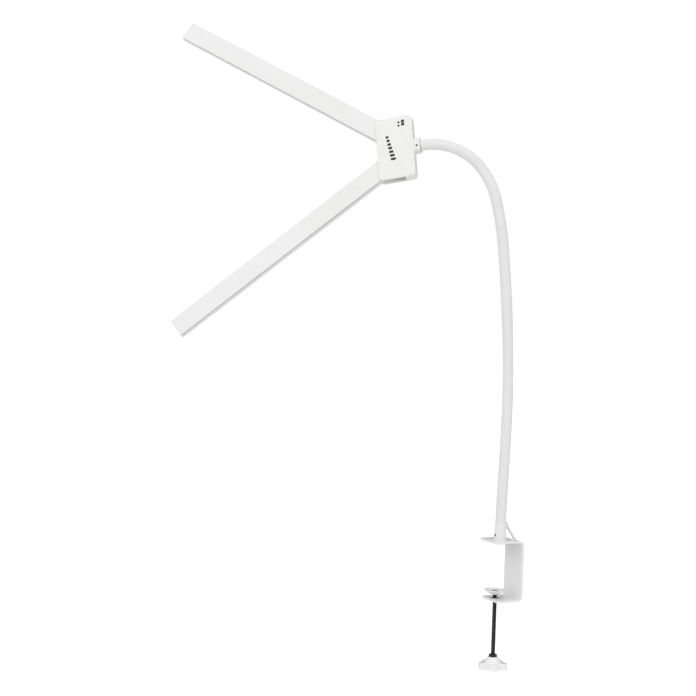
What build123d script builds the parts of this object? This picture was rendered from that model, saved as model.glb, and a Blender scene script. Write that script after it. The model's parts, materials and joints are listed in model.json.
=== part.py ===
"""Clamp-on desk lamp: a C-clamp, a flexible neck, a flat swivelling hub and two folding light bars.

Millimetres, +Z up. The origin is on the desk top, under the clamp's upper jaw, on the neck's axis.
The clamp opens towards -Y. The neck bends in an upright plane that is turned from -Y towards -X.
"""

from build123d import *
from math import cos, pi, radians, sin, tan
import os

os.makedirs("parts", exist_ok=True)

# ---- clamp ----
plate = 2.5                 # steel plate
jaw_pad_thickness = 0.6
clamp_width = 36.0
clamp_height = 68.0         # over both jaws
upper_jaw = 37.0            # depth, web included
lower_jaw = 31.5
web_back = 20.6             # Y of the web's outer face
clamp_bend = 3.0            # inside radius
jaw_corner = 4.5

# ---- clamp screw, M5 ----
screw_radius = 2.45
screw_y = -4.2
screw_top = -55.0
screw_bottom = -137.0
pad_radius = 11.8
pad_top = -52.6
pad_depth = 5.4
knob_radius = 15.8
knob_core = 11.0            # radius between the lobes
knob_top = -129.0
knob_height = 12.5
knob_lobes = 5
knob_turned = -28.0
lobe_length = 8.0
lobe_width = 9.4
lobe_height = 7.6
nut_width = 8.0             # across flats
nut_height = 4.0
nut_sunk = 1.2              # from the knob's top to the nut's seat

# ---- flexible neck ----
neck_radius = 6.0
neck_turned = 38.9          # the neck's plane, from -Y towards -X
link_gap = 1.0              # between the domed ends of two links
# Length of each link and how far it bends forward, degrees, from the clamp to the hub.
neck_links = [
    (64.0, -2.0),
    (64.0, 1.0),
    (65.0, 3.0),
    (65.0, 2.3),
    (65.0, 1.9),
    (54.0, 8.5),
    (40.0, 25.0),
    (37.0, 31.0),
    (38.5, 29.8),
]
socket_height = 18.5
socket_radius = 6.9
swivel_gap = 0.4

# ---- hub ----
hub_length = 41.9           # along the neck
hub_width = 76.0
hub_thickness = 12.3
hub_corner = 4.2
cover = 2.0                 # plate of each cover
wall = 1.8
wall_reach = 12.4           # of the side walls, forward from the neck side
head_roll = 22.6            # lamp side turned down from upright, about the neck
collar_length = 7.0
collar_width = 15.2
spigot_radius = 3.0
running_fit = 0.05
pivot_forward = 4.9         # of the hub's middle
pivot_apart = 29.6
pin_radius = 3.0
washer = 0.4

# ---- light bars ----
bar_length = 304.7          # from its pivot
bar_width = 22.4
bar_thickness = 7.9
bar_wall = 1.2
bar_edge = 0.9
channel_start = 9.0
lamp_start = 30.0
lens_thickness = 1.5
cap_thickness = 1.6
board_width = 15.0
led_count = 30
bar_angles = {"upper": 39.1, "lower": -32.0}

# ---- cord ----
cord_diameter = 3.0
hank_width = 27.8
hank_height = 62.0
hank_thickness = 15.5       # five strands
hank_ring = 6.2             # two strands side by side
hank_centre = Vector(-21.0, 34.7, -35.5)
hank_away = Vector(-0.842, 0.540, 0)        # level, away behind the web
tie_thickness = 0.8
tie_width = 9.0
plug_width = 13.5
plug_thickness = 7.0
plug_away = 18.1            # of the plug's middle from the hank's


def save(builder, name):
    builder.part.label = name
    export_step(builder.part, f"parts/{name}.step")


# ======================= the clamp =======================

jaw_top = jaw_pad_thickness + plate
clamp_base = jaw_top - clamp_height
lower_jaw_top = clamp_base + plate
side = Plane.YZ             # sketch x is Y, sketch y is Z

with BuildPart() as clamp_bracket:
    with BuildSketch(side.offset(-clamp_width / 2)):
        with BuildLine():
            outer = clamp_bend + plate
            FilletPolyline(
                (web_back - upper_jaw, jaw_top),
                (web_back, jaw_top),
                (web_back, clamp_base),
                (web_back - lower_jaw, clamp_base),
                radius=outer,
            )
            Line((web_back - lower_jaw, clamp_base), (web_back - lower_jaw, lower_jaw_top))
            FilletPolyline(
                (web_back - lower_jaw, lower_jaw_top),
                (web_back - plate, lower_jaw_top),
                (web_back - plate, jaw_top - plate),
                (web_back - upper_jaw, jaw_top - plate),
                radius=clamp_bend,
            )
            Line((web_back - upper_jaw, jaw_top - plate), (web_back - upper_jaw, jaw_top))
        make_face()
    extrude(amount=clamp_width)
    jaw_corners = clamp_bracket.edges().filter_by(Axis.Z).filter_by_position(Axis.Y, -20, 0)
    fillet(jaw_corners, jaw_corner)
    # countersunk hole for the socket's bolt, from below
    with BuildSketch(Plane.XY.offset(jaw_pad_thickness)):
        Circle(5.0)
    with BuildSketch(Plane.XY.offset(jaw_pad_thickness + 2.0)):
        Circle(3.1)
    loft(mode=Mode.SUBTRACT)
    with BuildSketch(Plane.XY.offset(jaw_pad_thickness)):
        Circle(3.1)
    extrude(amount=plate, mode=Mode.SUBTRACT)
    # hole for the threaded insert
    with BuildSketch(Plane.XY.offset(clamp_base)):
        with Locations((0, screw_y)):
            Circle(3.9)
    extrude(amount=plate, mode=Mode.SUBTRACT)
save(clamp_bracket, "clamp_bracket")

with BuildPart() as jaw_pad:
    with BuildSketch(Plane.XY):
        pad_middle = web_back - upper_jaw / 2 - clamp_bend
        with Locations((0, pad_middle)):
            RectangleRounded(clamp_width - 4, upper_jaw - 10, 3.5)
    extrude(amount=jaw_pad_thickness)
save(jaw_pad, "jaw_pad")

with BuildPart() as thread_insert:
    with BuildSketch(Plane.XY.offset(clamp_base)):
        with Locations((0, screw_y)):
            Circle(3.9)
            Circle(screw_radius + running_fit, mode=Mode.SUBTRACT)
    extrude(amount=plate)
    with BuildSketch(Plane.XY.offset(lower_jaw_top)):
        with Locations((0, screw_y)):
            Circle(4.8)
            Circle(screw_radius + running_fit, mode=Mode.SUBTRACT)
    extrude(amount=0.7)
save(thread_insert, "thread_insert")

# ======================= pressure pad and clamp screw =======================

screw_plane = Plane(origin=(0, screw_y, 0), x_dir=(0, 1, 0), z_dir=(1, 0, 0))
screw_axis = Axis((0, screw_y, 0), (0, 0, 1))
pad_bottom = pad_top - pad_depth

with BuildPart() as pressure_pad:
    with BuildSketch(screw_plane):
        with BuildLine():
            Polyline(
                (screw_radius + running_fit, pad_bottom),
                (4.6, pad_bottom),
                (pad_radius, pad_top - 1.1),
                (pad_radius, pad_top),
                (pad_radius - 1.4, pad_top),
                (6.6, pad_top - 2.2),
                (screw_radius + running_fit, pad_top - 2.2),
                close=True,
            )
        make_face()
    revolve(axis=screw_axis)
save(pressure_pad, "pressure_pad")

with BuildPart() as pad_rivet:
    with BuildSketch(Plane.XY.offset(pad_top - 2.2)):
        with Locations((0, screw_y)):
            Circle(4.0)
    extrude(amount=1.4)
    fillet(pad_rivet.edges().sort_by(Axis.Z)[-1], 1.0)
save(pad_rivet, "pad_rivet")

with BuildPart() as clamp_screw:
    with BuildSketch(Plane.XY.offset(screw_bottom)):
        with Locations((0, screw_y)):
            Circle(screw_radius)
    extrude(amount=screw_top - screw_bottom)
save(clamp_screw, "clamp_screw")

with BuildPart() as knob_nut:
    with BuildSketch(Plane.XY.offset(knob_top + nut_sunk)):
        with Locations((0, screw_y)):
            RegularPolygon(nut_width / 2, 6, major_radius=False)
            Circle(screw_radius, mode=Mode.SUBTRACT)
    extrude(amount=nut_height - nut_sunk)
save(knob_nut, "knob_nut")

knob_bottom = knob_top - knob_height
lobe_top = knob_bottom + lobe_height
with BuildPart() as clamp_knob:
    with BuildSketch(Plane.XY.offset(knob_bottom)):
        with Locations((0, screw_y)):
            Circle(knob_core)
            with PolarLocations(knob_radius - lobe_length / 2, knob_lobes, start_angle=knob_turned):
                Rectangle(lobe_length, lobe_width)
    extrude(amount=lobe_height)
    fillet(clamp_knob.edges().filter_by(Axis.Z), 1.8)
    rims = clamp_knob.faces().filter_by(Axis.Z).edges()
    fillet(rims, 0.9)
    # raised cone that the nut sits on
    with BuildSketch(Plane.XY.offset(lobe_top - 0.5)):
        with Locations((0, screw_y)):
            Circle(knob_core - 0.6)
    with BuildSketch(Plane.XY.offset(knob_top + nut_sunk)):
        with Locations((0, screw_y)):
            Circle(5.4)
    loft()
    with BuildSketch(Plane.XY.offset(screw_bottom)):
        with Locations((0, screw_y)):
            Circle(screw_radius)
    extrude(amount=20, mode=Mode.SUBTRACT)
save(clamp_knob, "clamp_knob")

# ======================= the flexible neck =======================

forward = Vector(-sin(radians(neck_turned)), -cos(radians(neck_turned)), 0)
bend_axis = Vector(0, 0, 1).cross(forward)
neck_plane = Plane(origin=(0, 0, 0), x_dir=forward, z_dir=bend_axis * -1)


def neck_station(distance):
    """Reach, height and heading of the neck's centreline, at a distance along it from the jaw."""
    reach = 0.0
    height = jaw_top
    heading = 0.0
    for length, turn in neck_links:
        here = min(distance, length)
        after = heading + radians(turn) * here / length
        chord = here
        if abs(after - heading) > 1e-9:
            half = (after - heading) / 2
            chord = here * sin(half) / half
        reach += chord * sin((heading + after) / 2)
        height += chord * cos((heading + after) / 2)
        heading = after
        distance -= here
        if distance <= 0:
            break
    return reach, height, heading


def neck_point(distance):
    reach, height, _ = neck_station(distance)
    return neck_plane.from_local_coords((reach, height))


def neck_direction(distance):
    _, _, heading = neck_station(distance)
    return forward * sin(heading) + Vector(0, 0, cos(heading))


neck_joints = [0.0]
for length, turn in neck_links:
    neck_joints.append(neck_joints[-1] + length)
neck_end = neck_joints[-1]
dome_step = neck_radius + link_gap / 2

for number in range(1, len(neck_links) + 1):
    first = number == 1
    last = number == len(neck_links)
    start = neck_joints[number - 1] + (socket_height - 4 if first else dome_step)
    finish = neck_joints[number] - (0 if last else dome_step)
    with BuildPart() as neck_link:
        with BuildLine(neck_plane) as centreline:
            start_reach, start_height, start_heading = neck_station(start)
            finish_reach, finish_height, _ = neck_station(finish)
            TangentArc(
                (start_reach, start_height),
                (finish_reach, finish_height),
                tangent=(sin(start_heading), cos(start_heading)),
            )
        with BuildSketch(Plane(origin=neck_point(start), z_dir=neck_direction(start))):
            Circle(neck_radius)
        sweep(path=centreline.line)
        if not first:
            with Locations(neck_point(start)):
                Sphere(neck_radius)
        if not last:
            with Locations(neck_point(finish)):
                Sphere(neck_radius)
    save(neck_link, f"neck_link_{number}")

with BuildPart() as neck_socket:
    with BuildSketch(Plane.XY.offset(jaw_top)):
        Circle(socket_radius)
    with BuildSketch(Plane.XY.offset(jaw_top + socket_height)):
        Circle(neck_radius + 0.45)
    loft()
    with BuildSketch(Plane.XY.offset(jaw_top + socket_height - 4.2)):
        Circle(neck_radius + 0.1)
    extrude(amount=5, mode=Mode.SUBTRACT)
    with BuildSketch(Plane.XY.offset(jaw_top)):
        Circle(2.9)
    extrude(amount=8, mode=Mode.SUBTRACT)
    # tapped hole for the grub screw, in the front
    with BuildSketch(Plane.XZ.offset(2.9)):
        with Locations((0, jaw_top + 5.0)):
            Circle(1.5)
    extrude(amount=6, mode=Mode.SUBTRACT)
save(neck_socket, "neck_socket")

with BuildPart() as socket_bolt:
    with BuildSketch(Plane.XY.offset(jaw_pad_thickness)):
        Circle(4.9)
    with BuildSketch(Plane.XY.offset(jaw_pad_thickness + 2.0)):
        Circle(2.9)
    loft()
    with BuildSketch(Plane.XY.offset(jaw_pad_thickness + 2.0)):
        Circle(2.9)
    extrude(amount=8.0)
save(socket_bolt, "socket_bolt")

with BuildPart() as socket_grub_screw:
    with BuildSketch(Plane.XZ.offset(3.0)):
        with Locations((0, jaw_top + 5.0)):
            Circle(1.45)
    extrude(amount=3.4)
    with BuildSketch(Plane.XZ.offset(6.4)):
        with Locations((0, jaw_top + 5.0)):
            RegularPolygon(0.75, 6)
    extrude(amount=-1.5, mode=Mode.SUBTRACT)
save(socket_grub_screw, "socket_grub_screw")

# ======================= the hub =======================
# Hub frame: x along the neck, away from it; y across; z towards the lamp side. Zero is the hub's middle.

along = neck_direction(neck_end)
upright = along.cross(bend_axis)
across = upright * cos(radians(head_roll)) + along.cross(upright) * sin(radians(head_roll))
lamp_side = along.cross(across)
hub_centre = neck_point(neck_end) + along * (swivel_gap + collar_length + hub_length / 2)
hub = Plane(origin=hub_centre, x_dir=along, z_dir=lamp_side)
half_thick = hub_thickness / 2
gap = half_thick - cover            # from the mid plane to each cover's inside
neck_side = -hub_length / 2
front_side = hub_length / 2


def hub_station(forward_by):
    """Plane across the neck's axis: its x is the hub's y, and its y is the hub's z."""
    return Plane(origin=hub.from_local_coords((forward_by, 0, 0)), x_dir=across, z_dir=along)


pivots = [(pivot_forward, pivot_apart / 2), (pivot_forward, -pivot_apart / 2)]
hub_screw_places = [(neck_side + 5.2, 33.0), (neck_side + 5.2, -33.0), (15.0, 0.0)]
notch = 10.1                        # in the neck side wall, for the collar
divider_half = 2.8


def hub_cover(side_sign):
    """One cover, as a plate with half the side wall; side_sign is -1 for the back, +1 for the lamp side."""
    with BuildPart() as shell:
        with BuildSketch(hub.offset(side_sign * gap)):
            RectangleRounded(hub_length, hub_width, hub_corner)
        extrude(amount=side_sign * cover)
        fillet(shell.faces().sort_by(Axis(hub_centre, lamp_side * side_sign))[-1].edges(), 0.7)
        with BuildSketch(hub.offset(side_sign * gap)):
            RectangleRounded(hub_length, hub_width, hub_corner)
            inside = (hub_length - 2 * wall, hub_width - 2 * wall)
            RectangleRounded(*inside, hub_corner - wall, mode=Mode.SUBTRACT)
            with Locations((wall_reach, 0)):
                Rectangle(hub_length, hub_width + 2, mode=Mode.SUBTRACT)
            with Locations((neck_side, 0)):
                Rectangle(4 * wall, notch, mode=Mode.SUBTRACT)
            with Locations(hub_screw_places[:2]):
                Circle(2.5)
            with Locations(((front_side - 8.5) / 2 - 0.3, 0)):
                Rectangle(front_side + 8.5 - 0.6, 2 * divider_half)
        extrude(amount=-side_sign * gap)
        with BuildSketch(hub.offset(side_sign * (gap + 1.0))):
            with Locations(pivots):
                Circle(pin_radius)
        extrude(amount=-side_sign * 1.0, mode=Mode.SUBTRACT)
        with BuildSketch(hub):
            with Locations(hub_screw_places):
                Circle(1.1)
        depth = half_thick if side_sign > 0 else gap
        extrude(amount=side_sign * depth, mode=Mode.SUBTRACT)
        if side_sign > 0:
            with BuildSketch(hub.offset(half_thick - 1.2)):
                with Locations(hub_screw_places):
                    Circle(2.1)
            extrude(amount=1.2, mode=Mode.SUBTRACT)
    return shell


hub_back_cover = hub_cover(-1)
save(hub_back_cover, "hub_back_cover")
hub_front_cover = hub_cover(1)
save(hub_front_cover, "hub_front_cover")

with BuildPart() as hub_screws:
    with BuildSketch(hub.offset(half_thick - 1.2)):
        with Locations(hub_screw_places):
            Circle(2.05)
    extrude(amount=1.1)
    with BuildSketch(hub.offset(half_thick - 1.2)):
        with Locations(hub_screw_places):
            Circle(1.1)
    extrude(amount=-(half_thick - 1.2 + gap - 0.3))
save(hub_screws, "hub_screws")

with BuildPart() as neck_collar:
    with BuildSketch(hub_station(neck_side - collar_length)):
        RectangleRounded(collar_width, hub_thickness, 2.4)
    extrude(amount=collar_length)
    with BuildSketch(hub_station(neck_side)):
        Rectangle(notch - 0.1, 2 * gap - 0.1)
    extrude(amount=wall)
    with BuildSketch(hub_station(neck_side + wall)):
        Rectangle(notch + 4, 2 * gap - 0.1)
    extrude(amount=1.5)
    with BuildSketch(hub_station(neck_side - collar_length)):
        Circle(spigot_radius + running_fit)
    extrude(amount=collar_length + wall + 1.5, mode=Mode.SUBTRACT)
    # pocket of the stop screw, towards the back
    with BuildSketch(hub.offset(-half_thick)):
        with Locations((neck_side - 3.4, -2.2)):
            Circle(1.3)
    extrude(amount=2.2, mode=Mode.SUBTRACT)
save(neck_collar, "neck_collar")

with BuildPart() as collar_screw:
    with BuildSketch(hub.offset(-half_thick + 0.5)):
        with Locations((neck_side - 3.4, -2.2)):
            Circle(1.25)
    extrude(amount=1.6)
save(collar_screw, "collar_screw")

with BuildPart() as neck_spigot:
    with BuildSketch(hub_station(neck_side - collar_length - swivel_gap)):
        Circle(spigot_radius)
        Circle(1.7, mode=Mode.SUBTRACT)
    extrude(amount=collar_length + swivel_gap + wall + 1.5 + 2.4)
save(neck_spigot, "neck_spigot")

with BuildPart() as swivel_clip:
    with BuildSketch(hub_station(neck_side + wall + 1.5 + 0.5)):
        Circle(3.9)
        Circle(spigot_radius, mode=Mode.SUBTRACT)
    extrude(amount=0.8)
save(swivel_clip, "swivel_clip")

with BuildPart() as hub_board:
    with BuildSketch(hub.offset(-gap + 0.5)):
        with Locations((neck_side + 9.2, 0)):
            Rectangle(6.2, 58.0)
    extrude(amount=1.2)
save(hub_board, "hub_board")

with BuildPart() as pivot_pins:
    with BuildSketch(hub.offset(-gap - 1.0)):
        with Locations(pivots):
            Circle(pin_radius)
    extrude(amount=2 * gap + 2.0)
save(pivot_pins, "pivot_pins")

with BuildPart() as friction_washers:
    for side_sign in (-1, 1):
        with BuildSketch(hub.offset(side_sign * (gap - 0.05))):
            with Locations(pivots):
                Circle(7.5)
                Circle(pin_radius + running_fit, mode=Mode.SUBTRACT)
        extrude(amount=-side_sign * washer)
save(friction_washers, "friction_washers")

# ======================= the light bars =======================
# Bar frame: x along the bar from its pivot, y across, z towards the lamp side.

bar_half = bar_thickness / 2
knuckle_half = gap - 0.1 - washer
inner_width = bar_width - 2 * bar_wall
lens_top = bar_half - 0.1

for bar, angle in bar_angles.items():
    pivot_y = pivot_apart / 2 if angle > 0 else -pivot_apart / 2
    pivot_point = hub.from_local_coords((pivot_forward, pivot_y, 0))
    bar_dir = along * cos(radians(angle)) + across * sin(radians(angle))
    frame = Plane(origin=pivot_point, x_dir=bar_dir, z_dir=lamp_side)
    channel_point = frame.from_local_coords((channel_start, 0, 0))
    section = Plane(origin=channel_point, x_dir=frame.y_dir, z_dir=bar_dir)
    print(bar, "bar pivot", pivot_point, "direction", bar_dir)

    with BuildPart() as housing:
        with BuildSketch(section):
            Rectangle(bar_width, bar_thickness)
            with Locations((0, bar_wall)):
                Rectangle(inner_width, bar_thickness, mode=Mode.SUBTRACT)
        extrude(amount=bar_length - channel_start - cap_thickness)
        long_edges = housing.edges().filter_by(Axis((0, 0, 0), bar_dir))
        back_edges = long_edges.sort_by(Axis(pivot_point, lamp_side))[:2]
        fillet(back_edges, bar_edge)
    save(housing, f"{bar}_housing")

    with BuildPart() as hinge_end:
        with BuildSketch(frame.offset(-knuckle_half)):
            Circle(bar_width / 2)
            with Locations((channel_start / 2, 0)):
                Rectangle(channel_start, bar_width)
            with Locations((channel_start + bar_width / 2, 0)):
                Rectangle(bar_width, bar_width, mode=Mode.SUBTRACT)
            Circle(pin_radius + running_fit, mode=Mode.SUBTRACT)
        extrude(amount=2 * knuckle_half)
        with BuildSketch(frame.offset(-bar_half + bar_wall + 0.05)):
            with Locations(((channel_start + lamp_start - 0.3) / 2, 0)):
                Rectangle(lamp_start - 0.3 - channel_start, inner_width - 0.1)
        extrude(amount=bar_thickness - bar_wall - 0.15)
    save(hinge_end, f"{bar}_hinge_end")

    cap_point = frame.from_local_coords((bar_length - cap_thickness, 0, 0))
    cap_section = Plane(origin=cap_point, x_dir=frame.y_dir, z_dir=bar_dir)
    with BuildPart() as end_cap:
        with BuildSketch(cap_section):
            Rectangle(bar_width, bar_thickness)
        extrude(amount=cap_thickness)
        # tongue inside the channel
        with BuildSketch(cap_section):
            with Locations((0, -0.2)):
                Rectangle(inner_width - 0.2, 3.4)
        extrude(amount=-5.0)
    save(end_cap, f"{bar}_end_cap")

    lamp_length = bar_length - 1.8 - lamp_start
    lamp_middle = lamp_start + lamp_length / 2
    with BuildPart() as diffuser:
        with BuildSketch(frame.offset(lens_top - lens_thickness)):
            with Locations((lamp_middle, 0)):
                Rectangle(lamp_length, inner_width - 0.1)
        extrude(amount=lens_thickness)
    save(diffuser, f"{bar}_diffuser")

    board_floor = -bar_half + bar_wall
    with BuildPart() as led_board:
        with BuildSketch(frame.offset(board_floor)):
            with Locations((lamp_middle - 2.5, 0)):
                Rectangle(lamp_length - 6, board_width)
        extrude(amount=0.8)
    save(led_board, f"{bar}_led_board")

    with BuildPart() as leds:
        with BuildSketch(frame.offset(board_floor + 0.8)):
            with Locations((lamp_middle - 2.5, 0)):
                with GridLocations((lamp_length - 16) / (led_count - 1), 1, led_count, 1):
                    Rectangle(2.8, 3.5)
        extrude(amount=0.7)
    save(leds, f"{bar}_leds")

# ======================= the cord =======================
# The lead leaves the socket's back, goes over the jaw's back edge and down behind the web. The rest
# is wound into an upright hank behind the web, and its plug hangs beside the hank, under the tie.

cord_radius = cord_diameter / 2
hank_aside = Vector(-hank_away.Y, hank_away.X, 0) * -1
# Routes of the stretches that aren't wound, chosen by hand.
lead_route = [
    (-2.0, 10.1, 16.4),
    (-3.7, 15.4, 10.4),
    (-6.1, 23.0, 1.2),
    (-8.9, 29.6, -4.2),
    (-11.4, 35.0, -7.1),
]
tail_route = [
    (-24.1, 40.3, -6.2),
    (-30.2, 42.9, -7.3),
    (-35.1, 44.3, -12.1),
    (-36.2, 44.5, -19.0),
]


def cord_tube(route, name):
    """A round cord along a route of straight runs, with the largest arcs that the runs allow."""
    points = [Vector(point) for point in route]
    radii = []
    for before, corner, after in zip(points, points[1:], points[2:]):
        turn = radians((corner - before).get_angle(after - corner))
        shorter = min((corner - before).length, (after - corner).length)
        radii.append(0.45 * shorter / tan(turn / 2))
    with BuildPart() as tube:
        with BuildLine() as path:
            FilletPolyline(*points, radius=radii)
        with BuildSketch(Plane(origin=points[0], z_dir=points[1] - points[0])):
            Circle(cord_radius)
        sweep(path=path.wires()[0])
    length = path.wires()[0].length
    section = pi * cord_radius**2
    print(name, "length", round(length, 1), "radii", [round(radius, 1) for radius in radii])
    print(name, "volume over section times length", round(tube.part.volume / (length * section), 4))
    save(tube, name)


cord_tube(lead_route, "cord_lead")
cord_tube(tail_route, "cord_tail")

boot_end = Vector(lead_route[0])
boot_dir = (Vector(lead_route[1]) - boot_end).normalized()
boot_start = boot_end - boot_dir * 6.0
with BuildPart() as cord_boot:
    with BuildSketch(Plane(origin=boot_start, z_dir=boot_dir)):
        Circle(2.5)
    with BuildSketch(Plane(origin=boot_end, z_dir=boot_dir)):
        Circle(1.9)
    loft()
save(cord_boot, "cord_boot")

hank_face = Plane(origin=hank_centre - hank_aside * hank_thickness / 2, x_dir=hank_away, z_dir=hank_aside)
hole_height = hank_height - 2 * hank_ring
hole_width = hank_width - 2 * hank_ring
with BuildPart() as cord_hank:
    with BuildSketch(hank_face):
        SlotOverall(hank_height, hank_width, rotation=90)
        SlotOverall(hole_height, hole_width, rotation=90, mode=Mode.SUBTRACT)
    extrude(amount=hank_thickness)
    flat_sides = cord_hank.faces().sort_by(Axis(hank_centre, hank_aside))
    fillet(flat_sides[0].edges() + flat_sides[-1].edges(), 2.5)
save(cord_hank, "cord_hank")

plug_middle = hank_centre + hank_away * plug_away


def plug_level(height):
    """Level plane at a height from the hank's middle: x is away from the web, on the plug's axis."""
    return Plane(origin=plug_middle + Vector(0, 0, height), x_dir=hank_away, z_dir=(0, 0, 1))


plug_top = 16.5
plug_shoulder = 9.0
plug_face = -11.0
shell_tip = -25.0
with BuildPart() as plug_body:
    with BuildSketch(plug_level(plug_face)):
        RectangleRounded(plug_thickness, plug_width, 2.0)
    extrude(amount=plug_shoulder - plug_face)
    fillet(plug_body.faces().sort_by(Axis.Z)[-1].edges(), 1.2)
    with BuildSketch(plug_level(plug_shoulder)):
        Circle(2.5)
    with BuildSketch(plug_level(plug_top)):
        Circle(1.9)
    loft()
save(plug_body, "plug_body")

with BuildPart() as plug_shell:
    with BuildSketch(plug_level(shell_tip)):
        RectangleRounded(4.5, 12.0, 0.5)
        RectangleRounded(3.9, 11.4, 0.3, mode=Mode.SUBTRACT)
    extrude(amount=plug_face - shell_tip)
save(plug_shell, "plug_shell")

with BuildPart() as plug_tongue:
    with BuildSketch(plug_level(shell_tip + 1.0)):
        with Locations((-1.0, 0)):
            Rectangle(1.6, 11.0)
    extrude(amount=plug_face - shell_tip - 1.0)
save(plug_tongue, "plug_tongue")

tie_reach = hank_width / 2 + plug_away + plug_thickness / 2 + 0.3
tie_depth = hank_thickness + 0.2
tie_middle = hank_centre + hank_away * (tie_reach - hank_width) / 2
tie_bottom = tie_middle - Vector(0, 0, tie_width / 2)
with BuildPart() as cord_tie:
    with BuildSketch(Plane(origin=tie_bottom, x_dir=hank_away, z_dir=(0, 0, 1))):
        RectangleRounded(tie_reach + 2 * tie_thickness, tie_depth + 2 * tie_thickness, 3.5)
        RectangleRounded(tie_reach, tie_depth, 2.7, mode=Mode.SUBTRACT)
    extrude(amount=tie_width)
save(cord_tie, "cord_tie")
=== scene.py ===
# %% [markdown]
# # A clamp-on desk lamp
# The lamp grips a desk edge with a C-clamp. A flexible neck rises from the clamp and bends over, and carries
# a flat hub with two folding light bars. The hard parts come finished from the CAD frame, with their sizes
# and joints. This lesson adds what CAD leaves plain: the soft sleeve of the neck, the wound cord, the thread
# of the clamp screw, the printed marks and the finish of every surface.

# %% The frame
import json
from math import cos, pi, radians, sin

import bmesh
import bpy
from mathutils import Matrix, Vector

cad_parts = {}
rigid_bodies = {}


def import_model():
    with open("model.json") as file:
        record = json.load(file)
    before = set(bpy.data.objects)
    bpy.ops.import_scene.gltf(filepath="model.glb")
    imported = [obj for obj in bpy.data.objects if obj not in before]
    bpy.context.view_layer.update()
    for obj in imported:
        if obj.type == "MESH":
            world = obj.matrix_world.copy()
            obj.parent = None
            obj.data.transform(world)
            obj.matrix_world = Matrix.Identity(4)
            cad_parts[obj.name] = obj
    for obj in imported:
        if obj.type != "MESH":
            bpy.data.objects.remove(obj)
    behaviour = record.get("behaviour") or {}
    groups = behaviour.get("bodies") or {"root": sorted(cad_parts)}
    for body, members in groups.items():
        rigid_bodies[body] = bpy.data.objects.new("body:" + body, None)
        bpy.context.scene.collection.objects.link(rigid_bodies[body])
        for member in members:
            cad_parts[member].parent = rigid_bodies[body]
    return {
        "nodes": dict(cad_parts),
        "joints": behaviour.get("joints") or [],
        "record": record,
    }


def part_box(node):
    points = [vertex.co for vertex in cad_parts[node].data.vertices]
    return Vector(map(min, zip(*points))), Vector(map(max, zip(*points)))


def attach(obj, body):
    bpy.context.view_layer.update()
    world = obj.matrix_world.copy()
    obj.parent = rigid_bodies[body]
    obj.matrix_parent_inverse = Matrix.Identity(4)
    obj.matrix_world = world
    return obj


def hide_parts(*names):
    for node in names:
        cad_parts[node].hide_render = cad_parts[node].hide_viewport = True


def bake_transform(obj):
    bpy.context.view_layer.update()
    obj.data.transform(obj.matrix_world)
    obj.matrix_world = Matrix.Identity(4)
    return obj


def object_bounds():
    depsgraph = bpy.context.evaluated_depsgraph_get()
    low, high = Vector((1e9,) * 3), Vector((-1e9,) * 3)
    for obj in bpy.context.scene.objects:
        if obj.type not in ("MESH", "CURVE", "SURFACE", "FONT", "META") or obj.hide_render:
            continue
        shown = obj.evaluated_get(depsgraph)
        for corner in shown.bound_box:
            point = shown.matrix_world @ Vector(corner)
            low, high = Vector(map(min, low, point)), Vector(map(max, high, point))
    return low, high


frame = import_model()
cad_low, cad_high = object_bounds()
joints = {joint["name"]: joint for joint in frame["joints"]}
print("pieces from CAD:", len(frame["nodes"]), "joints:", len(joints))

# %% [markdown]
# ## The camera
# The lamp is seen almost level, from the open side of the clamp, so that both bars and the curve of the neck
# lie nearly flat in the view. A camera looks along its own -Z, so its three axes are built from the turn
# round the lamp, the tilt and a small roll, and put into the columns of its matrix.

# %% Camera
camera_place = Vector((1.5571, -0.9776, 0.2778))
camera_turn = radians(63.35)
camera_tilt = radians(-2.11)
camera_roll = radians(1.77)

look = Vector((-sin(camera_turn) * cos(camera_tilt), cos(camera_turn) * cos(camera_tilt), sin(camera_tilt)))
level = Vector((cos(camera_turn), sin(camera_turn), 0.0))
upward = level.cross(look)
right = cos(camera_roll) * level + sin(camera_roll) * upward
top = cos(camera_roll) * upward - sin(camera_roll) * level
camera = bpy.data.objects.new("camera", bpy.data.cameras.new("camera"))
camera.matrix_world = Matrix.Translation(camera_place) @ Matrix((right, top, -look)).transposed().to_4x4()
camera.data.lens = 85.66
camera.data.clip_start = 0.01
bpy.context.scene.collection.objects.link(camera)
bpy.context.scene.camera = camera
print("camera is", round(camera_place.length, 2), "m from the clamp")

# %% [markdown]
# ## The cord
# A thin white lead leaves the back of the neck's socket and drops behind the clamp. The rest of its length is
# put away as a wound hank, held by a tie, with the plug beside it. A cord could be a swept mesh or a bevelled
# curve. One NURBS curve is best here: it is smooth everywhere, its own length can be measured, and the turns
# of the hank are simply more points of the same line. The free ends are short given lists.

# %% The cord's free ends, in metres
cord_diameter = 0.003
lead_route = [
    (-0.0020, 0.0101, 0.0164),
    (-0.0037, 0.0154, 0.0104),
    (-0.0061, 0.0230, 0.0012),
    (-0.0089, 0.0296, -0.0042),
    (-0.0114, 0.0350, -0.0071),
]
tail_route = [
    (-0.0241, 0.0403, -0.0062),
    (-0.0302, 0.0429, -0.0073),
    (-0.0351, 0.0443, -0.0121),
    (-0.0362, 0.0445, -0.0190),
]

# %% [markdown]
# The hank is two rings deep and five strands wide. The cord goes round the inner ring four times, moving one
# strand sideways each turn. It climbs to the outer ring in the fifth turn, and comes back over it in three
# more. Each turn is an oval, so one function gives a place on an oval, and another adds the sideways step.

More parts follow.
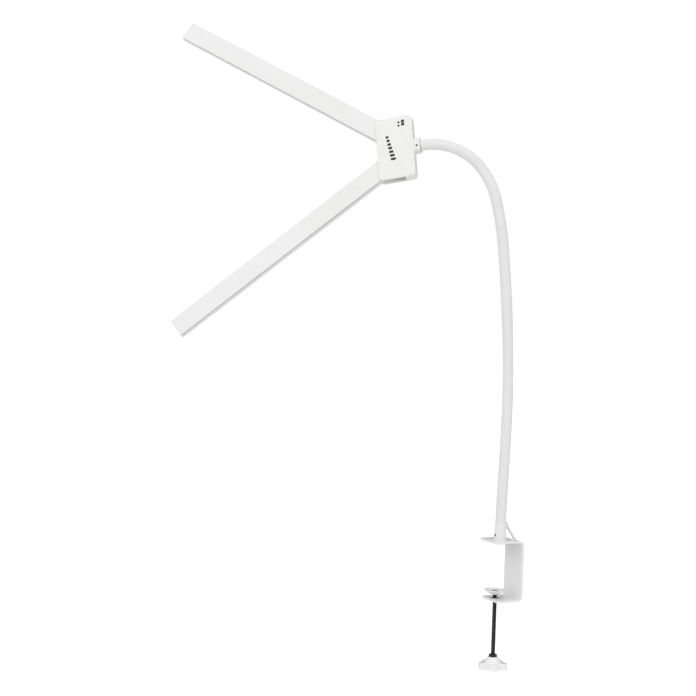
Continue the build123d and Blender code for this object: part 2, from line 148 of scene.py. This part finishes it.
# %% The cord's wound turns
strand = 0.0031                                  # room that one strand takes
inner_ring = 0.0092
straight_run = 0.0344
points_per_turn = 24
inner_turns = 4
turns = 8
half_width = 2.0                                 # strands from the hank's middle to its side
corner_cut = 1 / 0.96                            # the spline runs inside its control points
hank_middle = Vector((-0.0210, 0.0347, -0.0355))
away = Vector((-0.842, 0.540, 0.0))              # level, away behind the clamp
aside = Vector((0.540, 0.842, 0.0))


def place_on_oval(part, radius):
    """Reach and height on an upright oval turn: part 0 is its top, and part 0.25 its far side."""
    if part > 0.5:
        reach, height = place_on_oval(1.0 - part, radius)
        return -reach, height
    distance = part * 2 * (pi * radius + straight_run)
    quarter = radius * pi / 2
    if distance < quarter:
        angle = distance / radius
        return radius * sin(angle), straight_run / 2 + radius * cos(angle)
    if distance < quarter + straight_run:
        return radius, straight_run / 2 - (distance - quarter)
    angle = (distance - quarter - straight_run) / radius
    return radius * cos(angle), -straight_run / 2 - radius * sin(angle)


def place_in_hank(turn):
    """A point of the winding, after that many turns from where the lead joins it."""
    climb = min(max(turn - inner_turns, 0.0), 1.0) * pi / 2
    if turn < inner_turns:
        sideways = half_width - turn
    elif turn < inner_turns + 1:
        sideways = half_width - (turn - 1) - cos(climb)
    else:
        sideways = turn - inner_turns - 1 - half_width
    radius = (inner_ring + strand * sin(climb)) * corner_cut
    reach, height = place_on_oval(turn % 1.0, radius)
    return hank_middle + away * reach + aside * sideways * strand + Vector((0, 0, height))


cord_points = [Vector(point) for point in lead_route]
for step in range(turns * points_per_turn + 1):
    cord_points.append(place_in_hank(step / points_per_turn))
cord_points += [Vector(point) for point in tail_route]
print("control points of the cord:", len(cord_points))

# %% [markdown]
# A spline's order has to be set after its points are there, or it falls back to straight runs. Each point
# also has a radius, which scales the bevel. Blender counts that radius as metres when it works out the
# curve's box, and the default of 1 would make a box two metres wide. So the points get a tiny radius and the
# bevel makes up for it.

# %% The cord as one curve
point_scale = 0.001
cord_curve = bpy.data.curves.new("power_cord", "CURVE")
cord_curve.dimensions = "3D"
cord_curve.bevel_depth = cord_diameter / 2 / point_scale
cord_curve.bevel_resolution = 4
cord_curve.use_fill_caps = True
spline = cord_curve.splines.new("NURBS")
spline.points.add(len(cord_points) - 1)
for spline_point, place in zip(spline.points, cord_points):
    spline_point.co = (*place, 1.0)
    spline_point.radius = point_scale
spline.order_u = 3
spline.use_endpoint_u = True
spline.resolution_u = 4
power_cord = bpy.data.objects.new("power_cord", cord_curve)
bpy.context.scene.collection.objects.link(power_cord)
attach(power_cord, "clamp")
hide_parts("cord_lead", "cord_hank", "cord_tail")
cord_length = spline.calc_length()
print("cord length in metres:", round(cord_length, 3))

# %% [markdown]
# ## The neck's sleeve
# The real neck is a steel spiral inside one smooth plastic sleeve, and it bends anywhere. The frame has nine
# rigid links and eight hinges in its place, with gaps between the links. A sleeve over the whole neck could
# be one mesh, but here there is one piece for each hinge. Each runs from the middle of one link to the middle
# of the next, so the pieces meet. They are built in the pose the neck has now and are not tied to its links.
#
# The centreline needs no copied numbers. Each link is an arc that leaves its joint in the direction in which
# the last one arrived, so the joints' places alone give all the arcs.

# %% The neck's centreline, from its joints
neck_hinges = [joint for joint in frame["joints"] if joint["name"].startswith("neck_")]
swivel = joints["hub_swivel"]
swivel_to_sleeve = 0.00735                       # the sleeve stops just short of the hub's collar
neck_width = 0.012
socket_low, socket_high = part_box("neck_socket")
neck_stops = [Vector((0.0, 0.0, socket_low.z))]
neck_stops += [Vector(joint["pos_m"]) for joint in neck_hinges]
neck_stops.append(Vector(swivel["pos_m"]) - Vector(swivel["axis"]) * swivel_to_sleeve)
sideways_axis = Vector(neck_hinges[0]["axis"]).normalized()


class Arc:
    """One link of the neck: an arc from a start in a given direction to an end."""

    def __init__(self, start, end, heading):
        chord = end - start
        self.start, self.heading = start, heading
        self.turn = 2 * heading.angle(chord)
        self.straight = self.turn < 1e-5
        self.length = chord.length if self.straight else chord.length * (self.turn / 2) / sin(self.turn / 2)
        self.inward = (chord - chord.project(heading)).normalized() if not self.straight else Vector()

    def at(self, part):
        """Place and direction at a part of the arc's length, 0 to 1."""
        if self.straight:
            return self.start + self.heading * self.length * part, self.heading.copy()
        radius = self.length / self.turn
        angle = self.turn * part
        place = self.start + radius * (sin(angle) * self.heading + (1 - cos(angle)) * self.inward)
        return place, (cos(angle) * self.heading + sin(angle) * self.inward).normalized()


neck_arcs = []
heading = Vector((0.0, 0.0, 1.0))
for arc_start, arc_end in zip(neck_stops, neck_stops[1:]):
    neck_arcs.append(Arc(arc_start, arc_end, heading))
    heading = neck_arcs[-1].at(1.0)[1]
print("neck length in metres:", round(sum(arc.length for arc in neck_arcs), 3))

# %% [markdown]
# A tube is a row of rings along the centreline. The very last ring, at the hub, is pulled in a little, which
# makes the rolled lip of a moulded sleeve. The first end is hidden in the socket and needs none.

# %% Mesh helpers
ring_sides = 40


def mesh_object(name, mesh_data):
    """A new object in the scene, smooth except where faces meet at a sharp angle."""
    mesh = bpy.data.meshes.new(name)
    mesh_data.to_mesh(mesh)
    mesh_data.free()
    mesh.shade_smooth()
    mesh.set_sharp_from_angle(angle=radians(40))
    piece = bpy.data.objects.new(name, mesh)
    bpy.context.scene.collection.objects.link(piece)
    return piece


def add_rings(mesh_data, rings):
    """Joins rings of points into a closed tube with flat ends."""
    rows = [[mesh_data.verts.new(place) for place in ring] for ring in rings]
    for row, after in zip(rows, rows[1:]):
        for one, two, three, four in zip(row, row[1:] + row[:1], after[1:] + after[:1], after):
            mesh_data.faces.new((one, two, three, four))
    mesh_data.faces.new(list(reversed(rows[0])))
    mesh_data.faces.new(rows[-1])


def ring_round(place, direction, radius):
    """Points of a circle round the neck."""
    other = direction.cross(sideways_axis)
    angles = [2 * pi * side / ring_sides for side in range(ring_sides)]
    return [place + radius * (cos(angle) * sideways_axis + sin(angle) * other) for angle in angles]


# %% The sleeve, one piece for each hinge
ring_step = 0.003
lip = 0.0004
socket_recess = 0.0040
sleeves = []
for number, hinge in enumerate(neck_hinges, start=1):
    first = number == 1
    last = number == len(neck_hinges)
    before, after = neck_arcs[number - 1], neck_arcs[number]
    entry = (socket_high.z - socket_low.z - socket_recess) / before.length
    stretches = [(before, entry if first else 0.5, 1.0), (after, 0.0, 1.0 if last else 0.5)]
    rings = []
    for arc, begin, stop in stretches:
        count = max(2, round(arc.length * (stop - begin) / ring_step))
        skip = 1 if rings else 0
        for index in range(skip, count + 1):
            place, direction = arc.at(begin + (stop - begin) * index / count)
            rings.append(ring_round(place, direction, neck_width / 2))
    if last:
        end_place, end_direction = after.at(1.0)
        rings[-1] = ring_round(end_place - end_direction * lip, end_direction, neck_width / 2)
        rings.append(ring_round(end_place, end_direction, neck_width / 2 - lip))
    sleeve_mesh = bmesh.new()
    add_rings(sleeve_mesh, rings)
    bmesh.ops.recalc_face_normals(sleeve_mesh, faces=sleeve_mesh.faces)
    sleeve = mesh_object(f"neck_sleeve_{number}", sleeve_mesh)
    before.at(0.5)[0]
    after.at(0.5)[0]
    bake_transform(sleeve)
    covered = [f"neck_link_{number}"] + ([f"neck_link_{number + 1}"] if last else [])
    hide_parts(*covered)
    sleeves.append(sleeve)
print("sleeve pieces:", len(sleeves))

# %% [markdown]
# ## The clamp screw's thread
# The screw is a metric one with a pitch of 0.8 mm. The frame holds it as a plain rod. A thread could be faked
# with a bump, but its outline shows against the light, so it is real geometry here: rings of points whose
# radius rises and falls with the angle, which winds the groove round the rod.

# %% Clamp screw
thread_pitch = 0.0008
thread_depth = 0.00042
rings_per_pitch = 4
thread_sides = 24
screw_low, screw_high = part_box("clamp_screw")
screw_centre = (screw_low + screw_high) / 2
screw_radius = (screw_high.x - screw_low.x) / 2
ring_count = round((screw_high.z - screw_low.z) / thread_pitch * rings_per_pitch)


def thread_ring(height, plain):
    """One ring of the threaded rod, or a plain ring that leads in at an end."""
    ring = []
    for side in range(thread_sides):
        angle = 2 * pi * side / thread_sides
        phase = (height / thread_pitch - angle / (2 * pi)) % 1.0
        groove = thread_depth * (1 - abs(2 * phase - 1))
        radius = screw_radius - (thread_depth if plain else groove)
        ring.append((screw_centre.x + radius * cos(angle), screw_centre.y + radius * sin(angle), height))
    return ring


thread_rings = []
for index in range(ring_count + 1):
    ring_height = screw_low.z + (screw_high.z - screw_low.z) * index / ring_count
    thread_rings.append(thread_ring(ring_height, index in (0, ring_count)))
thread_mesh = bmesh.new()
add_rings(thread_mesh, thread_rings)
bmesh.ops.recalc_face_normals(thread_mesh, faces=thread_mesh.faces)
threaded_rod = mesh_object("threaded_rod", thread_mesh)
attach(threaded_rod, "screw")
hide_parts("clamp_screw")
print("thread turns:", round((screw_high.z - screw_low.z) / thread_pitch))

# %% [markdown]
# ## The printed marks on the hub
# The hub's back carries dark print: a long mark down its middle, and a small group in the corner by the neck.
# Plain shapes stand for both here, a scale of bars for dimming and four little dots and squares. Print is a
# film of ink, so each mark is a very thin raised shape with rounded corners.

# %% The hub's own directions
hub_forward = Vector(swivel["axis"]).normalized()
lamp_side = Vector(joints["upper_bar_fold"]["axis"]).normalized()
hub_across = lamp_side.cross(hub_forward).normalized()
back_low = min((corner.co for corner in frame["nodes"]["hub_back_cover"].data.vertices),
               key=lambda co: co.dot(lamp_side))
pivots = [Vector(joints[name]["pos_m"]) for name in ("upper_bar_fold", "lower_bar_fold")]
pivot_middle = (pivots[0] + pivots[1]) / 2
back_face = pivot_middle + lamp_side * (back_low.dot(lamp_side) - pivot_middle.dot(lamp_side))
print("hub half thickness in mm:", round((pivot_middle - back_face).length * 1000, 2))

# %% Printed marks
ink = 0.00006
corner_steps = 5


def add_mark(mesh_data, forward, across, length, width, corner):
    """One rounded patch of ink; forward and across are its middle's place on the hub's back."""
    outline = []
    for quarter, (x_sign, y_sign) in enumerate(((1, 1), (-1, 1), (-1, -1), (1, -1))):
        for step in range(corner_steps + 1):
            angle = pi / 2 * (quarter + step / corner_steps)
            x = x_sign * (length / 2 - corner) + corner * cos(angle)
            y = y_sign * (width / 2 - corner) + corner * sin(angle)
            outline.append(back_face + hub_forward * (forward + x) + hub_across * (across + y))
    add_rings(mesh_data, [[place + lamp_side * ink * 0.5 for place in outline],
                          [place - lamp_side * ink for place in outline]])


marks = bmesh.new()
scale_bars = 7
scale_pitch = 0.0047
scale_middle = 0.0008
slant = 0.0009                                   # each bar stands this much nearer the neck than the last
shortest_bar, longer_by = 0.0034, 0.0004
scale_width, scale_corner = 0.0031, 0.0009
for index in range(scale_bars):
    from_middle = index - scale_bars // 2
    scale_length = shortest_bar + longer_by * index
    add_mark(marks, scale_middle - slant * from_middle, -scale_pitch * from_middle,
             scale_length, scale_width, scale_corner)

square_row, square_side, square_corner = -0.0154, 0.0035, 0.0004
for across in (0.0313, 0.0274):
    add_mark(marks, square_row, across, square_side, square_side, square_corner)
dot_row, dot_width, dot_corner = -0.0106, 0.0027, 0.00134
for across in (0.0306, 0.0264):
    add_mark(marks, dot_row, across, dot_width, dot_width, dot_corner)
bmesh.ops.recalc_face_normals(marks, faces=marks.faces)
touch_marks = mesh_object("touch_marks", marks)
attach(touch_marks, "hub")
print("printed marks:", scale_bars + 4)

# %% [markdown]
# ## The painted shade lines of the bars
# A dark line runs along both sides of each bar, where the housing meets its lens. It is painted shade: a
# narrow strip in the grey rubber finish stands for the shadow in the gap there. A line painted by a material
# would blur close up, so the strip is geometry that stands just proud of the side wall. A bar is in line with
# the hub at the lowest limit of its fold, so a turn back from that limit gives the bar's own direction, and
# the housing's reach along its three directions gives the rest.

# %% The bars' directions
bar_directions = {}
for bar in ("upper", "lower"):
    fold = joints[f"{bar}_bar_fold"]
    turned_back = Matrix.Rotation(radians(-fold["range_deg"][0]), 3, Vector(fold["axis"]))
    bar_directions[bar] = turned_back @ hub_forward
    print(bar, "bar points along", [round(value, 2) for value in bar_directions[bar]])

# %% Painted shade strips
shade_strip_width = 0.0010
shade_strip_place = 0.0009                            # down the side wall from the bar's back
shade_strip_proud = 0.00004
shade_strip_sunk = 0.0002
shade_strips = []
for bar, along in bar_directions.items():
    across = lamp_side.cross(along)
    corners = [corner.co for corner in frame["nodes"][f"{bar}_housing"].data.vertices]
    reaches = [[corner.dot(direction) for corner in corners] for direction in (along, across, lamp_side)]
    begin, end = min(reaches[0]), max(reaches[0])
    upper_edge = min(reaches[2]) + shade_strip_place
    strip = bmesh.new()
    for wall, outward in ((min(reaches[1]), -1), (max(reaches[1]), 1)):
        inside, outside = wall - outward * shade_strip_sunk, wall + outward * shade_strip_proud
        section = [(inside, upper_edge), (outside, upper_edge),
                   (outside, upper_edge + shade_strip_width), (inside, upper_edge + shade_strip_width)]
        add_rings(strip, [[along * reach + across * side + lamp_side * deep for side, deep in section]
                          for reach in (begin, end)])
    bmesh.ops.recalc_face_normals(strip, faces=strip.faces)
    # Each strip is painted shade: a grey stand-in for the shadow in the gap between housing and lens.
    shade_strip = mesh_object(f"{bar}_gasket", strip)
    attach(shade_strip, f"{bar}_bar")
    shade_strips.append(shade_strip)
print("gaskets in mm:", round((end - begin) * 1000, 1), "long")

# %% [markdown]
# ## Finishes
# Almost everything is white, so the finishes have to differ in how they take the light: a powder coat with
# its orange peel, a soft sleeve, a moulded hub with a fine spark grain, drawn bars, a glossy knob. All of
# them share one recipe. A fine noise gives the grain, and a slow cloudy noise shifts the tone and the gloss
# the way handling does. Both are so weak that they only show close up. A stretched noise makes drawn lines.

# %% One recipe for a worked surface
def worked_surface(name, dark, light, grain, relief, rough, cloud=18.0, stretch=(1, 1, 1),
                   turn=(0, 0, 0)):
    """A finish whose tone, gloss and relief follow two noises; grain is per metre, relief in metres."""
    material = bpy.data.materials.new(name)
    material.use_nodes = True
    nodes, links = material.node_tree.nodes, material.node_tree.links
    shader = nodes["Principled BSDF"]
    places = nodes.new("ShaderNodeTexCoord")
    aim = nodes.new("ShaderNodeMapping")
    aim.vector_type = "TEXTURE"
    aim.inputs["Rotation"].default_value = turn
    aim.inputs["Scale"].default_value = stretch
    fine = nodes.new("ShaderNodeTexNoise")
    fine.inputs["Scale"].default_value = grain
    fine.inputs["Detail"].default_value = 3.0
    slow = nodes.new("ShaderNodeTexNoise")
    slow.inputs["Scale"].default_value = cloud
    slow.inputs["Detail"].default_value = 5.0
    slow.inputs["Roughness"].default_value = 0.6
    tone = nodes.new("ShaderNodeValToRGB")
    tone.color_ramp.elements[0].position = 0.30
    tone.color_ramp.elements[0].color = (*dark, 1)
    tone.color_ramp.elements[1].position = 0.62
    tone.color_ramp.elements[1].color = (*light, 1)
    gloss = nodes.new("ShaderNodeMapRange")
    gloss.inputs["From Min"].default_value = 0.3
    gloss.inputs["From Max"].default_value = 0.7
    gloss.inputs["To Min"].default_value = rough[0]
    gloss.inputs["To Max"].default_value = rough[1]
    bump = nodes.new("ShaderNodeBump")
    bump.inputs["Distance"].default_value = relief
    bump.inputs["Strength"].default_value = 0.6
    links.new(places.outputs["Object"], aim.inputs["Vector"])
    links.new(aim.outputs["Vector"], fine.inputs["Vector"])
    links.new(places.outputs["Object"], slow.inputs["Vector"])
    links.new(slow.outputs["Fac"], tone.inputs["Fac"])
    links.new(tone.outputs["Color"], shader.inputs["Base Color"])
    links.new(slow.outputs["Fac"], gloss.inputs["Value"])
    links.new(gloss.outputs["Result"], shader.inputs["Roughness"])
    links.new(fine.outputs["Fac"], bump.inputs["Height"])
    links.new(bump.outputs["Normal"], shader.inputs["Normal"])
    return material, shader


def let_light_in(shader, weight, depth):
    """Milky plastic: some light goes in and comes out that far away, the same for every colour."""
    shader.inputs["Subsurface Weight"].default_value = weight
    shader.inputs["Subsurface Scale"].default_value = depth
    shader.inputs["Subsurface Radius"].default_value = (1.0, 1.0, 1.0)


def lacquer(shader, weight, roughness=None):
    """A clear coat over the colour."""
    shader.inputs["Coat Weight"].default_value = weight
    if roughness is not None:
        shader.inputs["Coat Roughness"].default_value = roughness


# %% [markdown]
# ### Whites
# The clamp and the socket are powder coated: tiny ripples under a satin skin. The hub and the hinge ends are
# moulded in a tool with a spark-eroded face, and the plug is as dull. The knob comes from a polished tool, so
# it shines.

# %% White paints and mouldings
clamp_coat, shader = worked_surface("clamp powder coat", (0.85, 0.85, 0.85), (0.90, 0.90, 0.90),
                                    900, 0.00003, (0.26, 0.38))
lacquer(shader, 0.25, 0.2)

socket_paint, shader = worked_surface("socket paint", (0.84, 0.84, 0.84), (0.88, 0.88, 0.88),
                                      1300, 0.00002, (0.24, 0.34))
lacquer(shader, 0.3)

hub_moulding, shader = worked_surface("hub moulding", (0.83, 0.83, 0.82), (0.87, 0.87, 0.86),
                                      2600, 0.00002, (0.38, 0.50))
let_light_in(shader, 0.05, 0.001)

knob_moulding, shader = worked_surface("polished moulding", (0.91, 0.91, 0.91), (0.95, 0.95, 0.95),
                                       240, 0.00004, (0.08, 0.16))
lacquer(shader, 0.6, 0.05)

plug_moulding, shader = worked_surface("plug moulding", (0.80, 0.80, 0.79), (0.85, 0.85, 0.84),
                                       1800, 0.00003, (0.34, 0.46))
let_light_in(shader, 0.05, 0.001)

# %% [markdown]
# ### Soft whites
# The sleeve and the cord are soft plastic, duller than the mouldings. The sleeve also has a faint sheen along
# its edges, and the tie's cloth has more of it.

# %% Soft plastics
neck_skin, shader = worked_surface("neck sleeve", (0.80, 0.80, 0.80), (0.84, 0.84, 0.84),
                                   1500, 0.00004, (0.46, 0.60), cloud=30)
shader.inputs["Sheen Weight"].default_value = 0.06
shader.inputs["Sheen Roughness"].default_value = 0.5

cord_skin, shader = worked_surface("cord sleeve", (0.80, 0.80, 0.79), (0.85, 0.85, 0.84),
                                   2200, 0.00003, (0.38, 0.52), cloud=60)

grey_rubber, shader = worked_surface("grey rubber", (0.20, 0.20, 0.20), (0.27, 0.27, 0.27),
                                     1100, 0.00010, (0.70, 0.85))

tie_strap, shader = worked_surface("tie strap", (0.72, 0.72, 0.70), (0.82, 0.82, 0.80),
                                   1600, 0.00025, (0.75, 0.9), stretch=(1, 1, 0.35))
shader.inputs["Sheen Weight"].default_value = 0.3

nylon, shader = worked_surface("nylon", (0.70, 0.69, 0.66), (0.77, 0.76, 0.73), 900, 0.00003, (0.4, 0.55))

# %% [markdown]
# ### The bars
# Each bar is a drawn aluminium channel with a white satin finish. Drawing leaves hair lines along the bar, so
# the noise is stretched along each bar's own direction.

# %% Drawn bars
bar_finishes = {}
for bar, along in bar_directions.items():
    turn = along.to_track_quat("X", "Z").to_euler()
    bar_finishes[bar], shader = worked_surface(f"{bar} bar satin", (0.835, 0.83, 0.825), (0.87, 0.87, 0.87),
                                               900, 0.000004, (0.38, 0.46), cloud=9,
                                               stretch=(40, 1, 1), turn=turn)

cap_moulding, shader = worked_surface("end cap moulding", (0.80, 0.80, 0.80), (0.85, 0.85, 0.85),
                                      2200, 0.00002, (0.36, 0.48))

# %% [markdown]
# ### Lenses and boards
# The lens is milky acrylic: light goes a little way in and comes back softened. Behind it sit the boards.

# %% Lenses, boards and light sources
opal_acrylic, shader = worked_surface("opal lens", (0.86, 0.86, 0.85), (0.90, 0.90, 0.89),
                                      500, 0.00002, (0.18, 0.26))
let_light_in(shader, 0.4, 0.002)

white_mask, shader = worked_surface("white board", (0.74, 0.75, 0.74), (0.80, 0.81, 0.80),
                                    1200, 0.00002, (0.3, 0.45))
green_mask, shader = worked_surface("green board", (0.02, 0.14, 0.05), (0.03, 0.20, 0.08),
                                    900, 0.00004, (0.2, 0.4))
phosphor, shader = worked_surface("light source", (0.80, 0.62, 0.12), (0.88, 0.72, 0.20),
                                  3000, 0.00002, (0.25, 0.4))

# %% [markdown]
# ### Metals
# The screw and its nut are blackened steel, a little uneven in tone. Rivets and hidden fasteners are zinc
# plated, with the mottled tone that plating has.

# %% Metals
black_steel, shader = worked_surface("black steel", (0.030, 0.026, 0.025), (0.075, 0.066, 0.062),
                                     1400, 0.00003, (0.28, 0.46), cloud=160)
shader.inputs["Metallic"].default_value = 0.9

zinc_plate, shader = worked_surface("zinc plate", (0.46, 0.46, 0.45), (0.62, 0.62, 0.60),
                                    800, 0.00003, (0.24, 0.42), cloud=220)
shader.inputs["Metallic"].default_value = 1.0

plated_shell, shader = worked_surface("plated shell", (0.62, 0.61, 0.58), (0.72, 0.71, 0.68),
                                      600, 0.00002, (0.16, 0.28))
shader.inputs["Metallic"].default_value = 1.0

ink_black, shader = worked_surface("printing ink", (0.012, 0.012, 0.012), (0.03, 0.03, 0.03),
                                   2500, 0.00001, (0.4, 0.55))

# %% [markdown]
# ## Every piece takes its finish
# The record names a slot for each CAD piece, so one table of slots covers them all.

# %% Finishes by slot
finishes = {
    "clamp_powder_coat": clamp_coat,
    "neck_sleeve": neck_skin,
    "socket_white": socket_paint,
    "hub_white": hub_moulding,
    "bar_cap_white": cap_moulding,
    "opal_lens": opal_acrylic,
    "board_white": white_mask,
    "board_green": green_mask,
    "led_yellow": phosphor,
    "knob_white": knob_moulding,
    "dark_steel": black_steel,
    "zinc_steel": zinc_plate,
    "washer_nylon": nylon,
    "grey_rubber": grey_rubber,
    "cord_white": cord_skin,
    "tie_white": tie_strap,
    "plug_white": plug_moulding,
    "plug_metal": plated_shell,
}


def wear(piece, material):
    """Gives a piece one finish in all its slots."""
    piece.data.materials.clear()
    piece.data.materials.append(material)


for subpart in frame["record"]["subparts"]:
    node = frame["nodes"][subpart["node"]]
    slot = subpart["material_slot"]
    bar = subpart["node"].split("_")[0]
    wear(node, bar_finishes[bar] if slot == "bar_aluminium" else finishes[slot])
for sleeve in sleeves:
    wear(sleeve, neck_skin)
wear(power_cord, cord_skin)
wear(threaded_rod, black_steel)
wear(touch_marks, ink_black)
# The strips along the bars are painted shade, in the grey rubber finish.
for shade_strip in shade_strips:
    wear(shade_strip, grey_rubber)
in_use = {slot.material.name for piece in bpy.data.objects for slot in piece.material_slots}
print("finishes in use:", len(in_use))

# %% [markdown]
# ## The studio
# White on white needs care: with light from everywhere a white lamp vanishes. So the room is brightest on one
# side, above and in front of the lamp, and fades to dark on the other, which shades every face that turns
# away. What is seen straight behind the lamp stays plain white. The floor is far below, where it gathers no
# hard shadow, and glows a little to the eye alone.

# %% Floor
floor_drop = 0.25
floor_half = 30
floor_glow = 0.45
floor_mesh = bmesh.new()
bmesh.ops.create_grid(floor_mesh, x_segments=1, y_segments=1, size=floor_half)
bmesh.ops.translate(floor_mesh, verts=floor_mesh.verts, vec=(0, 0, cad_low[2] - floor_drop))
floor = mesh_object("floor", floor_mesh)
floor_paint, shader = worked_surface("floor paint", (0.93, 0.93, 0.93), (0.95, 0.95, 0.95),
                                     60, 0.0001, (0.7, 0.8))
floor_nodes, floor_links = floor_paint.node_tree.nodes, floor_paint.node_tree.links
direct_sight = floor_nodes.new("ShaderNodeLightPath")
lift = floor_nodes.new("ShaderNodeMath")
lift.operation = "MULTIPLY"
lift.inputs[1].default_value = floor_glow
floor_links.new(direct_sight.outputs["Is Camera Ray"], lift.inputs[0])
floor_links.new(lift.outputs["Value"], shader.inputs["Emission Strength"])
shader.inputs["Emission Color"].default_value = (1, 1, 1, 1)
wear(floor, floor_paint)
print("floor is", floor_drop, "m under the lamp")

# %% Room light
bright_side = Vector((0.76, -0.40, 0.52)).normalized()
dimmest, brightest = 0.15, 1.10
room = bpy.data.worlds.new("room")
room.use_nodes = True
bpy.context.scene.world = room
room_nodes, room_links = room.node_tree.nodes, room.node_tree.links
sky = room_nodes["Background"]
room_places = room_nodes.new("ShaderNodeTexCoord")
towards = room_nodes.new("ShaderNodeVectorMath")
towards.operation = "DOT_PRODUCT"
towards.inputs[1].default_value = bright_side
shade = room_nodes.new("ShaderNodeMapRange")
shade.inputs["From Min"].default_value = -1.0
shade.inputs["To Min"].default_value = dimmest
shade.inputs["To Max"].default_value = brightest
seen = room_nodes.new("ShaderNodeLightPath")
plain = room_nodes.new("ShaderNodeBackground")
plain.inputs["Color"].default_value = (1, 1, 1, 1)
either = room_nodes.new("ShaderNodeMixShader")
room_links.new(room_places.outputs["Generated"], towards.inputs[0])
room_links.new(towards.outputs["Value"], shade.inputs["Value"])
room_links.new(shade.outputs["Result"], sky.inputs["Strength"])
room_links.new(seen.outputs["Is Camera Ray"], either.inputs["Fac"])
room_links.new(sky.outputs["Background"], either.inputs[1])
room_links.new(plain.outputs["Background"], either.inputs[2])
room_links.new(either.outputs["Shader"], room_nodes["World Output"].inputs["Surface"])
sky.inputs["Color"].default_value = (1, 1, 1, 1)
bpy.context.scene.view_settings.view_transform = "Standard"
print("room light is set")


# %% Lamps of the studio
def soft_box(name, place, aim, size, watts):
    """A square soft light that looks at a point."""
    light = bpy.data.objects.new(name, bpy.data.lights.new(name, "AREA"))
    light.data.size = size
    light.data.energy = watts
    light.location = place
    light.rotation_euler = (Vector(aim) - Vector(place)).to_track_quat("-Z", "Y").to_euler()
    bpy.context.scene.collection.objects.link(light)


lamp_middle = (Vector(cad_low) + Vector(cad_high)) / 2
soft_box("key", lamp_middle + Vector((1.2, -1.4, 1.3)), lamp_middle, 1.4, 3.5)
soft_box("top", lamp_middle + Vector((0.0, 0.0, 1.8)), lamp_middle, 1.6, 1.5)
print("soft boxes aim at", [round(value, 2) for value in lamp_middle])
